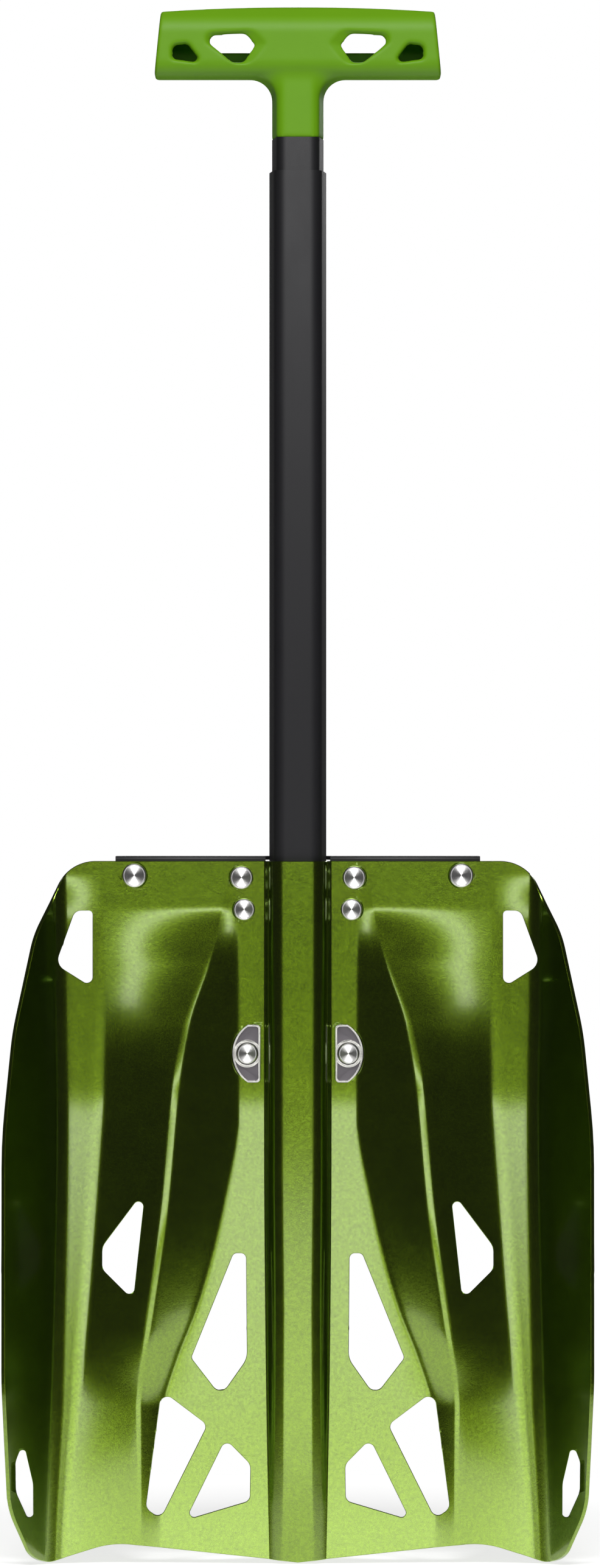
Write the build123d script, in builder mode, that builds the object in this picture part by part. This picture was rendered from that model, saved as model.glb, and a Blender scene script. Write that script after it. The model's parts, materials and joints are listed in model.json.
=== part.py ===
from build123d import *
import math
import os

# Avalanche shovel: a pressed aluminium blade, a two-piece telescoping shaft and a moulded T-grip.
# Millimetres. X runs across the blade, -Y is the scoop side, +Z runs up the shaft to the grip.
# The origin is on the shaft's centreline, level with the blade's lowest point.

os.makedirs("parts", exist_ok=True)

# Overall sizes
blade_height = 287.6
blade_width = 242.0
tube_showing = 283.7
inner_tube_showing = 13.7
grip_neck_height = 24.7
grip_bar_height = 28.9
grip_bar_length = 118.0

# Shaft: a rounded trapezoid, narrower at the front
shaft_depth = 28.0
shaft_front_width = 19.2
shaft_back_width = 24.6
shaft_corner_radius = 5.5
outer_tube_wall = 1.0
inner_tube_wall = 1.0
tube_gap = 0.12
shaft_end_height = 194.0
extension_travel = 228.0
tube_overlap = 63.0

# Blade sheet
sheet = 1.8
socket_clearance = 0.3
kick_height = 190.0
kick_angle = 3.8
kick_softness = 4.0
wall_angle = 58.0
wall_spare_width = 6.0
flange_half_width = 24.4
channel_foot_radius = 1.2
channel_low_narrowing = 3.5
channel_low_height = 12.0
section_spare_length = 8.0

# Socket bracket and step plate behind the blade
bracket_wall = 1.6
bracket_half_width = 28.6
bracket_corner = 3.0
step_plate_thickness = 1.6
step_plate_width = 150.2
step_plate_rise = 2.0
step_plate_height = 15.1
step_plate_tread = 21.0
step_plate_corner = 5.0
step_plate_bend = 1.2
sheet_gap = 0.4

# Rivets
rivet_shank = 4.8
rivet_hole_clearance = 0.05
rivet_head_height = 1.7
rivet_head_round = 1.1
rivet_tail_round = 0.6
rivet_tail = 7.6
rivet_tail_height = 1.3
washer_diameter = 10.6
washer_thickness = 0.8
seat_gap = 0.05
rivet_pad_margin = 0.3
step_rivet_x = 67.3
step_rivet_drop = 5.9
step_rivet_head = 10.0
upper_rivet_x = 23.2
upper_rivet_drop = 6.8
upper_rivet_head = 9.6
middle_rivet_x = 22.1
middle_rivet_drop = 19.9
middle_rivet_head = 9.0
lower_rivet_x = 20.8
lower_rivet_rise = 14.4
lower_rivet_head = 8.7

# Cups under the lower rivets
cup_inner_x = 15.5
cup_outer_x = 26.9
cup_length = 23.8
cup_height = 1.9
cup_floor = 0.7
cup_rim = 0.9
cup_band = 9.4
cup_gap = 0.05
cup_pad_margin = 0.2
cup_shoulder = 5.0
cup_corner = 1.6
cup_seat_clearance = 0.25

# Push buttons and their leaf springs
button_diameter = 8.0
button_hole_clearance = 0.15
button_flange_diameter = 10.4
button_flange_thickness = 1.1
button_stand = 2.3
button_dome = 0.8
button_wall_gap = 0.15
bracket_hole_clearance = 0.5
spring_thickness = 0.7
spring_width = 8.0
spring_leg = 17.0
spring_peg = 2.4
spring_tip = 6.0
button_peg_depth = 1.6
spring_wall_gap = 0.05
blade_button_rise = 46.0
extension_button_rise = 38.0

# Plugs in the tube ends
plug_depth = 6.0
plug_flange = 1.5
plug_gap = 0.1
plug_bore = 5.0

# T-grip
grip_bar_depth = 31.0
grip_wall = 2.6
grip_crown = 2.1
grip_core_half = 12.0
grip_section_radii = [4, 9, 7, 7, 9, 4]
grip_end_lean = 2.7
grip_neck_radius = 9.0
grip_edge_radius = 1.2
grip_shoulder = 6.5
grip_top_depth = 15.0
grip_tenon = 26.0
window_slot_height = 10.0
window_slot_inner = 15.0
window_slot_outer = 39.5
window_slot_rise = 11.6
window_slot_radius = 3.0
grip_rivet_diameter = 4.0
grip_rivet_head = 7.0
grip_rivet_head_height = 1.2
grip_rivet_length = 8.0
grip_rivet_raise = 0.5

# Heights and places that follow from the sizes above
blade_half = blade_width / 2
shaft_half_depth = shaft_depth / 2
tube_top = blade_height + tube_showing
grip_bottom = tube_top + inner_tube_showing
bar_bottom = grip_bottom + grip_neck_height
bar_top = bar_bottom + grip_bar_height
bar_half = grip_bar_length / 2
socket_crown = shaft_half_depth + socket_clearance
inner_inset = outer_tube_wall + tube_gap
inner_tube_end = tube_top - extension_travel - tube_overlap
side_lean = (shaft_back_width - shaft_front_width) / 2 / shaft_depth
side_angle = math.degrees(math.atan(side_lean))
bracket_top = blade_height - sheet_gap
step_plate_top = blade_height + step_plate_rise
bracket_flange_top = step_plate_top - step_plate_height - sheet_gap
inner_bore = -inner_inset - inner_tube_wall


def shaft_half_at(y):
    """Half the shaft's width at a depth, before its corners are rounded."""
    return shaft_front_width / 2 + side_lean * (y + shaft_half_depth)


def shaft_corners(grow):
    """The corners of the shaft's trapezoid, moved out all round by grow."""
    reach = shaft_half_depth + grow
    sideways = grow / math.cos(math.radians(side_angle))
    front = shaft_half_at(-reach) + sideways
    back = shaft_half_at(reach) + sideways
    return [(-front, -reach), (front, -reach), (back, reach), (-back, reach)]


def shaft_outline(grow):
    """A closed rounded trapezoid, the shaft's outside moved out by grow, or in if it is negative."""
    return FilletPolyline(*shaft_corners(grow), radius=shaft_corner_radius + grow, close=True)


def along(z, stops):
    """A value at height z on straight runs between (height, value) stops."""
    for (low, first), (high, second) in zip(stops, stops[1:]):
        if z <= high:
            share = max(z - low, 0) / (high - low)
            return first + share * (second - first)
    return stops[-1][1]


def kick(z):
    """How far the sheet has come forward at height z, below the line where the blade bends."""
    below = (kick_height - z) / kick_softness
    return kick_softness * math.log(1 + math.exp(below)) * math.tan(math.radians(kick_angle))


# Lines pressed into each half of the blade, as (height, distance from the centre) or (height, rise)
ridge_line = [(64, 65.0), (96, 61.0), (144, 54.6), (194, 50.1), (221, 45.4), (245, 37.4), (275, 30.0)]
ridge_rise = [(0, 1.0), (64, 3.5), (96, 7.5), (144, 9.5), (194, 9.0), (221, 6.5), (245, 3.6), (268, 0.4)]
wedge_line = [(64, 56.0), (86, 50.0), (104, 42.6), (124, 36.4), (148, 30.6), (180, flange_half_width)]
pan_line = [(0, 25.0), (72, 30.5), (112, 34.5), (152, 37.6), (190, 40.0)]
crease_line = [(3, 17.4), (72, 19.7), (187, 21.7), (235, 21.0)]
crease_rise = [(0, 1.4), (190, 2.6), (262, 2.6), (282, 1.0)]


def half_section(z):
    """The sheet's back face at height z, from the channel's crown to the rim, as (x, forward)."""
    crown = max(socket_crown - kick(z), 1.0)
    narrowing = channel_low_narrowing * max(channel_low_height - crown, 0) / channel_low_height
    rim_x = blade_half + wall_spare_width
    crease_x = blade_half - along(z, crease_line)
    rise = along(z, crease_rise)
    rim = rise + (rim_x - crease_x) * math.tan(math.radians(wall_angle))
    points = [
        (shaft_half_at(-socket_crown) + socket_clearance - narrowing, crown),
        (shaft_half_at(0) + socket_clearance, 0),
        (along(z, wedge_line), 0),
        (along(z, ridge_line), along(z, ridge_rise)),
        (blade_half - along(z, pan_line), 0),
        (crease_x, rise),
        (rim_x, rim),
    ]
    return [(x, forward + kick(z)) for x, forward in points]


def moved_forward(points, distance):
    """A path moved forward by a distance square to each run, with its corners mitred."""
    normals = []
    for (x, f), (next_x, next_f) in zip(points, points[1:]):
        run = math.hypot(next_x - x, next_f - f)
        normals.append((-(next_f - f) / run, (next_x - x) / run))
    moved = []
    for (x, f), (ax, af), (bx, bf) in zip(points, normals[:1] + normals, normals + normals[-1:]):
        reach = distance / (1 + ax * bx + af * bf)
        moved.append((x + (ax + bx) * reach, f + (af + bf) * reach))
    return moved


# Radii of the back face's bends, from the channel's crown outwards; a raised bend gains the sheet
bend_radii = [
    shaft_corner_radius + socket_clearance,
    channel_foot_radius + sheet,
    12,
    6,
    14 + sheet,
    9 + sheet,
]
bend_gains = [sheet, -sheet, -sheet, sheet, -sheet, -sheet]
section_heights = [-section_spare_length, 20, 50, 80, 110, 145, 170, 192, 215, 240, 262, 280]
section_heights.append(blade_height + section_spare_length)

# Corners of the blade's outline, from the top edge round to the bottom edge, with their radii
rim_corners = [
    (blade_half - 26.9, blade_height, 17),
    (blade_half - 12.4, blade_height - 30.1, 45),
    (blade_half - 4.1, blade_height - 70.0, 120),
    (blade_half, blade_height - 112.8, 250),
    (blade_half, 75, 200),
    (blade_half - 2.3, 23.5, 40),
    (blade_half - 12.7, -2.1, 10),
    (76.0, 8.0, 38),
]

# Corners of the lightening holes in one half, with their radii
upper_hole = [
    (blade_half - 36.5, blade_height - 20.4, 1.6),
    (blade_half - 36.5, blade_height - 52.1, 2.4),
    (blade_half - 21.4, blade_height - 42.5, 5.0),
    (blade_half - 29.3, blade_height - 20.4, 3.6),
]
middle_hole = [(62.7, 152.8, 2.0), (67.6, 107.5, 2.2), (80.4, 119.9, 4.5), (80.4, 129.1, 7.0)]
large_hole = [
    (21.3, 126.4, 2.2),
    (26.4, 126.4, 2.2),
    (43.8, 83.5, 2.0),
    (31.7, 67.9, 3.6),
    (20.9, 83.2, 9.0),
]
outer_hole = [(56.0, 70.2, 3.2), (37.2, 56.1, 3.0), (56.4, 17.8, 3.0), (62.4, 22.0, 4.0)]
inner_hole = [(29.7, 50.3, 2.6), (19.5, 40.0, 4.5), (19.7, 25.1, 3.0), (46.0, 17.3, 1.8)]
wall_hole = [
    (blade_half - 8.8, 50.6, 1.4),
    (blade_half - 5.7, 42.5, 8.0),
    (blade_half - 5.9, 30.0, 10.0),
    (blade_half - 12.7, 13.6, 1.4),
    (blade_half - 12.6, 33.0, 12.0),
]
blade_holes = [upper_hole, middle_hole, large_hole, outer_hole, inner_hole, wall_hole]

# Rivets through the blade, as (x, z)
lower_rivet_z = kick_height + 4 + lower_rivet_rise
step_rivet_places = [(s * step_rivet_x, blade_height - step_rivet_drop) for s in (-1, 1)]
upper_rivet_places = [(s * upper_rivet_x, blade_height - upper_rivet_drop) for s in (-1, 1)]
middle_rivet_places = [(s * middle_rivet_x, blade_height - middle_rivet_drop) for s in (-1, 1)]
lower_rivet_places = [(s * lower_rivet_x, lower_rivet_z) for s in (-1, 1)]
plate_rivet_places = step_rivet_places + upper_rivet_places
bracket_rivet_places = middle_rivet_places + lower_rivet_places
rivet_hole = rivet_shank + 2 * rivet_hole_clearance
through = 4 * shaft_depth

rivet_pads = [
    (step_rivet_places, step_rivet_head),
    (upper_rivet_places, upper_rivet_head),
    (middle_rivet_places, middle_rivet_head),
]


def cup_outline(side, grow):
    """A rivet cup's D-shaped outline on one side, moved out all round by grow, as (x, z)."""
    low = lower_rivet_z - cup_length / 2 - grow
    high = lower_rivet_z + cup_length / 2 + grow
    inner = side * (cup_inner_x - grow)
    shoulder = side * (cup_inner_x + cup_shoulder)
    Line((shoulder, low), (inner, low))
    Line((inner, low), (inner, high))
    Line((inner, high), (shoulder, high))
    ThreePointArc((shoulder, high), (side * (cup_outer_x + grow), lower_rivet_z), (shoulder, low))


# Blade pan: one pressed sheet, lofted through its sections, then trimmed and pierced
with BuildPart() as blade_pan:
    for height in section_heights:
        half = half_section(height)
        back = [(-x, f) for x, f in reversed(half)] + half
        front = moved_forward(back, sheet)
        back_radii = bend_radii[::-1] + bend_radii
        front_radii = [r + gain for r, gain in zip(back_radii, bend_gains[::-1] + bend_gains)]
        with BuildSketch(Plane.XY.offset(height)):
            with BuildLine():
                back_line = FilletPolyline(*[(x, -f) for x, f in back], radius=back_radii)
                front_line = FilletPolyline(*[(x, -f) for x, f in front], radius=front_radii)
                Line(back_line @ 0, front_line @ 0)
                Line(back_line @ 1, front_line @ 1)
            make_face()
    loft()
    with BuildSketch(Plane.XZ):
        with BuildLine():
            rim_points = [(0, blade_height)] + [(x, z) for x, z, r in rim_corners] + [(0, 0)]
            FilletPolyline(*rim_points, radius=[r for x, z, r in rim_corners])
            mirror(about=Plane.YZ)
        make_face()
    extrude(amount=through, both=True, mode=Mode.INTERSECT)
    with BuildSketch(Plane.XZ):
        for corners in blade_holes:
            with BuildLine():
                FilletPolyline(
                    *[(x, z) for x, z, r in corners],
                    radius=[r for x, z, r in corners],
                    close=True,
                )
            make_face()
        mirror(about=Plane.YZ)
        with Locations(*plate_rivet_places, *bracket_rivet_places):
            Circle(rivet_hole / 2)
    extrude(amount=through, both=True, mode=Mode.SUBTRACT)
    with BuildSketch(Plane.XZ.offset(sheet)):
        for places, head_diameter in rivet_pads:
            with Locations(*places):
                Circle(head_diameter / 2 + rivet_pad_margin)
        for side in (-1, 1):
            with BuildLine():
                cup_outline(side, cup_pad_margin)
            make_face()
    extrude(amount=through, mode=Mode.SUBTRACT)
blade_pan.part.label = "blade_pan"
export_step(blade_pan.part, "parts/blade_pan.step")

# Socket bracket: a hat section behind the blade that closes the socket round the shaft
bracket_foot = kick_height + 2
blade_button_z = shaft_end_height + blade_button_rise
with BuildPart() as socket_bracket:
    with BuildSketch(Plane.XY.offset(bracket_foot)):
        with BuildLine():
            shaft_outline(socket_clearance + bracket_wall)
        make_face()
        with Locations((0, seat_gap + bracket_wall / 2)):
            Rectangle(2 * bracket_half_width, bracket_wall)
        with BuildLine():
            shaft_outline(socket_clearance)
        make_face(mode=Mode.SUBTRACT)
        with Locations((0, seat_gap - shaft_depth)):
            Rectangle(2 * blade_width, 2 * shaft_depth, mode=Mode.SUBTRACT)
    extrude(amount=bracket_top - bracket_foot)
    with BuildSketch(Plane.XY.offset(bracket_flange_top)):
        Rectangle(4 * bracket_half_width, 2 * (bracket_wall + sheet_gap))
    extrude(amount=shaft_depth, mode=Mode.SUBTRACT)
    flange_corners = socket_bracket.edges().filter_by(Axis.Y).group_by(Axis.Z)[0]
    fillet(flange_corners.sort_by(Axis.X)[0], radius=bracket_corner)
    fillet(flange_corners.sort_by(Axis.X)[-1], radius=bracket_corner)
    with BuildSketch(Plane.XZ):
        with Locations(*bracket_rivet_places):
            Circle(rivet_hole / 2)
        with Locations((0, blade_button_z)):
            Circle(button_diameter / 2 + bracket_hole_clearance)
    extrude(amount=-2 * shaft_depth, mode=Mode.SUBTRACT)
socket_bracket.part.label = "socket_bracket"
export_step(socket_bracket.part, "parts/socket_bracket.step")

# Step plate: an angle along the top edge, with an opening that the shaft passes through
opening_gap = socket_clearance + bracket_wall + sheet_gap
with BuildPart() as step_plate:
    with BuildSketch(Plane.XY.offset(step_plate_top)):
        with Locations((0, seat_gap + step_plate_tread / 2)):
            Rectangle(step_plate_width, step_plate_tread)
    extrude(amount=-step_plate_thickness)
    fillet(step_plate.edges().filter_by(Axis.Z).group_by(Axis.Y)[-1], radius=step_plate_corner)
    with BuildSketch(Plane.XZ.offset(-seat_gap)):
        with Locations((0, step_plate_top - step_plate_height / 2)):
            Rectangle(step_plate_width, step_plate_height)
    extrude(amount=-step_plate_thickness)
    fillet(step_plate.edges().filter_by(Axis.Y).group_by(Axis.Z)[0], radius=step_plate_corner)
    front_edges = step_plate.edges().filter_by(Axis.X).group_by(Axis.Y)[0]
    fillet(front_edges.sort_by(Axis.Z)[-1], radius=step_plate_bend)
    with BuildSketch(Plane.XY.offset(step_plate_top)):
        with BuildLine():
            shaft_outline(opening_gap)
        make_face()
    extrude(amount=-step_plate_height, mode=Mode.SUBTRACT)
    with BuildSketch(Plane.XZ):
        with Locations(*plate_rivet_places):
            Circle(rivet_hole / 2)
    extrude(amount=-2 * step_plate_thickness, mode=Mode.SUBTRACT)
step_plate.part.label = "step_plate"
export_step(step_plate.part, "parts/step_plate.step")


def rivet(place, head_diameter, head_seat, tail_seat):
    """A rivet along Y: its rounded head stands forward of head_seat and its tail behind tail_seat."""
    with BuildPart() as one_rivet:
        with BuildSketch(Plane.XZ.offset(-head_seat)):
            with Locations(place):
                Circle(head_diameter / 2)
        extrude(amount=rivet_head_height)
        with BuildSketch(Plane.XZ.offset(-tail_seat)):
            with Locations(place):
                Circle(rivet_tail / 2)
        extrude(amount=-rivet_tail_height)
        rims = one_rivet.edges().filter_by(GeomType.CIRCLE).sort_by(Axis.Y)
        fillet(rims[0], radius=rivet_head_round)
        fillet(rims[-1], radius=rivet_tail_round)
        with BuildSketch(Plane.XZ.offset(-head_seat)):
            with Locations(place):
                Circle(rivet_shank / 2)
        extrude(amount=head_seat - tail_seat)
    return one_rivet.part


# Rivets: one pair to a node, named by their row
blade_front = -sheet - seat_gap
cup_front = -sheet - cup_gap - cup_floor - seat_gap
plate_back = max(step_plate_thickness, bracket_wall) + 2 * seat_gap
washer_back = plate_back + washer_thickness + seat_gap
rivet_rows = [
    ("step_rivets", step_rivet_places, step_rivet_head, blade_front),
    ("upper_rivets", upper_rivet_places, upper_rivet_head, blade_front),
    ("middle_rivets", middle_rivet_places, middle_rivet_head, blade_front),
    ("lower_rivets", lower_rivet_places, lower_rivet_head, cup_front),
]
for row_name, places, head_diameter, head_seat in rivet_rows:
    with BuildPart() as rivet_row:
        for place in places:
            add(rivet(place, head_diameter, head_seat, washer_back))
    rivet_row.part.label = row_name
    export_step(rivet_row.part, f"parts/{row_name}.step")

# Washers under the rivets' tails, one node for the plate's and one for the bracket's
washer_rows = [("plate_washers", plate_rivet_places), ("bracket_washers", bracket_rivet_places)]
for row_name, places in washer_rows:
    with BuildPart() as washer_row:
        with BuildSketch(Plane.XZ.offset(-plate_back)):
            with Locations(*places):
                Circle(washer_diameter / 2)
                Circle(rivet_hole / 2, mode=Mode.SUBTRACT)
        extrude(amount=-washer_thickness)
    washer_row.part.label = row_name
    export_step(washer_row.part, f"parts/{row_name}.step")

# Rivet cups: D-shaped dishes with a raised rim and a raised band that seats the lower rivets
cup_top = sheet + cup_gap + cup_height
for side, side_name in ((-1, "left"), (1, "right")):
    with BuildPart() as rivet_cup:
        with BuildSketch(Plane.XZ.offset(cup_top)):
            with BuildLine():
                cup_outline(side, 0)
            make_face()
        extrude(amount=-cup_height)
        fillet(rivet_cup.edges().filter_by(Axis.Y), radius=cup_corner)
        with BuildSketch(Plane.XZ.offset(cup_top)):
            with BuildLine():
                cup_outline(side, -cup_rim)
            make_face()
            with Locations((0, lower_rivet_z)):
                Rectangle(4 * cup_outer_x, cup_band, mode=Mode.SUBTRACT)
            with Locations((side * lower_rivet_x, lower_rivet_z)):
                Circle(lower_rivet_head / 2 + cup_seat_clearance)
        extrude(amount=cup_floor - cup_height, mode=Mode.SUBTRACT)
        with BuildSketch(Plane.XZ):
            with Locations((side * lower_rivet_x, lower_rivet_z)):
                Circle(rivet_hole / 2)
        extrude(amount=through, mode=Mode.SUBTRACT)
    rivet_cup.part.label = f"rivet_cup_{side_name}"
    export_step(rivet_cup.part, f"parts/rivet_cup_{side_name}.step")

# Outer tube: the lower shaft, with lock holes in its back wall
extension_button_z = inner_tube_end + extension_button_rise
grip_rivet_z = grip_bottom - inner_tube_showing / 2 + grip_rivet_raise
outer_lock_places = [blade_button_z, extension_button_z, extension_button_z + extension_travel]
with BuildPart() as outer_tube:
    with BuildSketch(Plane.XY.offset(shaft_end_height)):
        with BuildLine():
            shaft_outline(0)
        make_face()
        with BuildLine():
            shaft_outline(-outer_tube_wall)
        make_face(mode=Mode.SUBTRACT)
    extrude(amount=tube_top - shaft_end_height)
    with BuildSketch(Plane.XZ):
        with Locations(*[(0, z) for z in outer_lock_places]):
            Circle(button_diameter / 2 + button_hole_clearance)
    extrude(amount=-shaft_depth, mode=Mode.SUBTRACT)
outer_tube.part.label = "outer_tube"
export_step(outer_tube.part, "parts/outer_tube.step")

# Inner tube: the upper shaft, which slides in the outer one
with BuildPart() as inner_tube:
    with BuildSketch(Plane.XY.offset(inner_tube_end)):
        with BuildLine():
            shaft_outline(-inner_inset)
        make_face()
        with BuildLine():
            shaft_outline(inner_bore)
        make_face(mode=Mode.SUBTRACT)
    extrude(amount=grip_bottom - inner_tube_end)
    with BuildSketch(Plane.XZ):
        with Locations((0, extension_button_z)):
            Circle(button_diameter / 2 + button_hole_clearance)
        with Locations((0, grip_rivet_z)):
            Circle(grip_rivet_diameter / 2 + rivet_hole_clearance)
    extrude(amount=-shaft_depth, mode=Mode.SUBTRACT)
inner_tube.part.label = "inner_tube"
export_step(inner_tube.part, "parts/inner_tube.step")

# Plugs: each closes the foot of a tube, with a flange under the wall and a drain hole
plugs = [
    ("shaft_end_plug", shaft_end_height, 0, outer_tube_wall),
    ("inner_tube_plug", inner_tube_end, -inner_inset, inner_tube_wall),
]
for plug_name, tube_end, tube_grow, wall in plugs:
    with BuildPart() as plug:
        with BuildSketch(Plane.XY.offset(tube_end - plug_flange - seat_gap)):
            with BuildLine():
                shaft_outline(tube_grow)
            make_face()
        extrude(amount=plug_flange)
        with BuildSketch(Plane.XY.offset(tube_end - plug_flange)):
            with BuildLine():
                shaft_outline(tube_grow - wall - plug_gap)
            make_face()
        extrude(amount=plug_flange + plug_depth)
        Hole(radius=plug_bore / 2)
    plug.part.label = plug_name
    export_step(plug.part, f"parts/{plug_name}.step")

# Lock buttons and the leaf springs that hold them out through the tubes' back walls
buttons = [
    ("blade_lock", blade_button_z, 0, outer_tube_wall, socket_clearance + bracket_wall),
    ("extension_lock", extension_button_z, -inner_inset, inner_tube_wall, inner_inset),
]
for button_name, button_z, tube_grow, wall, cover in buttons:
    bore_half = shaft_half_depth + tube_grow - wall
    flange_back = bore_half - button_wall_gap
    flange_front = flange_back - button_flange_thickness
    button_end = shaft_half_depth + tube_grow + cover + button_stand
    leaf_back = flange_front - seat_gap
    leaf_front = -bore_half + spring_wall_gap
    leaf_top = button_z + spring_tip
    bend_radius = (leaf_back - leaf_front) / 2
    bend_z = button_z - spring_leg
    with BuildPart() as button:
        with BuildSketch(Plane.XZ.offset(-flange_front)):
            with Locations((0, button_z)):
                Circle(button_flange_diameter / 2)
        extrude(amount=-button_flange_thickness)
        with BuildSketch(Plane.XZ.offset(-flange_front)):
            with Locations((0, button_z)):
                Circle(button_diameter / 2)
        extrude(amount=flange_front - button_end)
        fillet(button.edges().filter_by(GeomType.CIRCLE).sort_by(Axis.Y)[-1], radius=button_dome)
        with BuildSketch(Plane.XZ.offset(-flange_front)):
            with Locations((0, button_z)):
                Circle(spring_peg / 2 + rivet_hole_clearance)
        extrude(amount=-button_peg_depth, mode=Mode.SUBTRACT)
    button.part.label = f"{button_name}_button"
    export_step(button.part, f"parts/{button_name}_button.step")
    with BuildPart() as spring:
        with BuildSketch(Plane.YZ):
            with BuildLine():
                Line((leaf_back, leaf_top), (leaf_back, bend_z))
                ThreePointArc(
                    (leaf_back, bend_z),
                    ((leaf_back + leaf_front) / 2, bend_z - bend_radius),
                    (leaf_front, bend_z),
                )
                Line((leaf_front, bend_z), (leaf_front, button_z))
                Line((leaf_front, button_z), (leaf_front + spring_thickness, button_z))
                Line((leaf_front + spring_thickness, button_z), (leaf_front + spring_thickness, bend_z))
                ThreePointArc(
                    (leaf_front + spring_thickness, bend_z),
                    ((leaf_back + leaf_front) / 2, bend_z - bend_radius + spring_thickness),
                    (leaf_back - spring_thickness, bend_z),
                )
                Line((leaf_back - spring_thickness, bend_z), (leaf_back - spring_thickness, leaf_top))
                Line((leaf_back - spring_thickness, leaf_top), (leaf_back, leaf_top))
            make_face()
        extrude(amount=spring_width / 2, both=True)
        with BuildSketch(Plane.XZ.offset(-leaf_back + spring_thickness)):
            with Locations((0, button_z)):
                Circle(spring_peg / 2)
        extrude(amount=-spring_thickness - button_peg_depth + button_wall_gap)
    spring.part.label = f"{button_name}_spring"
    export_step(spring.part, f"parts/{button_name}_spring.step")

# T-grip: a hollow moulded bar on a neck whose tenon fills the top of the inner tube
bar_half_depth = grip_bar_depth / 2
slot_foot = bar_bottom + window_slot_rise
large_window = [
    (35.9, 16.6, 2.2),
    (21.5, 17.5, 4.0),
    (17.6, 12.7, 1.2),
    (22.4, 5.7, 2.0),
    (27.0, 5.7, 2.6),
    (35.9, 13.2, 1.0),
]
small_window = [(51.3, 12.6, 2.4), (45.4, 13.2, 2.2), (41.2, 7.7, 1.0), (42.2, 5.9, 1.2), (51.3, 7.2, 1.4)]
slot_middle = (window_slot_inner + window_slot_outer) / 2


def bar_outline(inset):
    """The bar's closed section, drawn in all round by inset, as (y, z)."""
    return FilletPolyline(
        (-grip_top_depth / 2, bar_top - inset),
        (-bar_half_depth + inset, bar_top - grip_shoulder),
        (-bar_half_depth + inset, bar_bottom + inset),
        (bar_half_depth - inset, bar_bottom + inset),
        (bar_half_depth - inset, bar_top - grip_shoulder),
        (grip_top_depth / 2, bar_top - inset),
        radius=[r - inset / 2 for r in grip_section_radii],
        close=True,
    )


with BuildPart() as t_grip:
    with BuildSketch(Plane.YZ):
        with BuildLine():
            bar_outline(0)
        make_face()
    extrude(amount=bar_half, both=True)
    with BuildSketch(Plane.XY.offset(grip_bottom)):
        with BuildLine():
            shaft_outline(-inner_inset)
        make_face()
    extrude(amount=grip_neck_height + grip_bar_height / 2)
    neck_edges = t_grip.edges().filter_by_position(Axis.X, -bar_half / 2, bar_half / 2)
    neck_edges = neck_edges.filter_by_position(Axis.Z, bar_bottom - 1, bar_top - grip_shoulder)
    fillet(neck_edges, radius=grip_neck_radius)
    with BuildSketch(Plane.XZ):
        with BuildLine():
            ThreePointArc(
                (grip_end_lean - bar_half, bar_top - grip_crown),
                (0, bar_top),
                (bar_half - grip_end_lean, bar_top - grip_crown),
            )
            Polyline(
                (bar_half - grip_end_lean, bar_top - grip_crown),
                (bar_half, bar_bottom),
                (bar_half, grip_bottom),
                (-bar_half, grip_bottom),
                (-bar_half, bar_bottom),
                (grip_end_lean - bar_half, bar_top - grip_crown),
            )
        make_face()
    extrude(amount=grip_bar_depth, both=True, mode=Mode.INTERSECT)
    end_faces = t_grip.faces().sort_by(Axis.X)
    fillet(end_faces[0].edges() + end_faces[-1].edges(), radius=grip_edge_radius)
    for side in (-1, 1):
        with BuildSketch(Plane.YZ.offset(side * grip_core_half)):
            with BuildLine():
                bar_outline(grip_wall)
            make_face()
        extrude(amount=side * (bar_half - grip_end_lean - grip_wall - grip_core_half), mode=Mode.SUBTRACT)
    with BuildSketch(Plane.XZ):
        for corners in (large_window, small_window):
            with BuildLine():
                FilletPolyline(
                    *[(x, bar_bottom + rise) for x, rise, r in corners],
                    radius=[r for x, rise, r in corners],
                    close=True,
                )
            make_face()
        mirror(about=Plane.YZ)
    extrude(amount=grip_bar_depth, mode=Mode.SUBTRACT)
    with BuildSketch(Plane.XZ):
        with Locations((slot_middle, slot_foot + window_slot_height / 2)):
            RectangleRounded(window_slot_outer - window_slot_inner, window_slot_height, window_slot_radius)
        mirror(about=Plane.YZ)
    extrude(amount=-grip_bar_depth, mode=Mode.SUBTRACT)
    with BuildSketch(Plane.XY.offset(grip_bottom)):
        with BuildLine():
            shaft_outline(inner_bore - plug_gap)
        make_face()
    extrude(amount=-grip_tenon)
    with BuildSketch(Plane.XZ):
        with Locations((0, grip_rivet_z)):
            Circle(grip_rivet_diameter / 2 + rivet_hole_clearance)
    extrude(amount=-grip_bar_depth, mode=Mode.SUBTRACT)
t_grip.part.label = "t_grip"
export_step(t_grip.part, "parts/t_grip.step")

# Grip rivet: joins the tenon to the tube through its back wall
tube_back = shaft_half_depth - inner_inset
with BuildPart() as grip_rivet:
    with BuildSketch(Plane.XZ.offset(-tube_back - seat_gap)):
        with Locations((0, grip_rivet_z)):
            Circle(grip_rivet_head / 2)
    extrude(amount=-grip_rivet_head_height)
    fillet(grip_rivet.edges().sort_by(Axis.Y)[-1], radius=grip_rivet_head_height / 2)
    with BuildSketch(Plane.XZ.offset(-tube_back - seat_gap)):
        with Locations((0, grip_rivet_z)):
            Circle(grip_rivet_diameter / 2)
    extrude(amount=grip_rivet_length)
grip_rivet.part.label = "grip_rivet"
export_step(grip_rivet.part, "parts/grip_rivet.step")
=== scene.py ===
import json
import math

import bpy
import numpy as np
from bpy.props import FloatProperty, FloatVectorProperty, IntProperty, PointerProperty
from mathutils import Matrix, Vector

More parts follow.
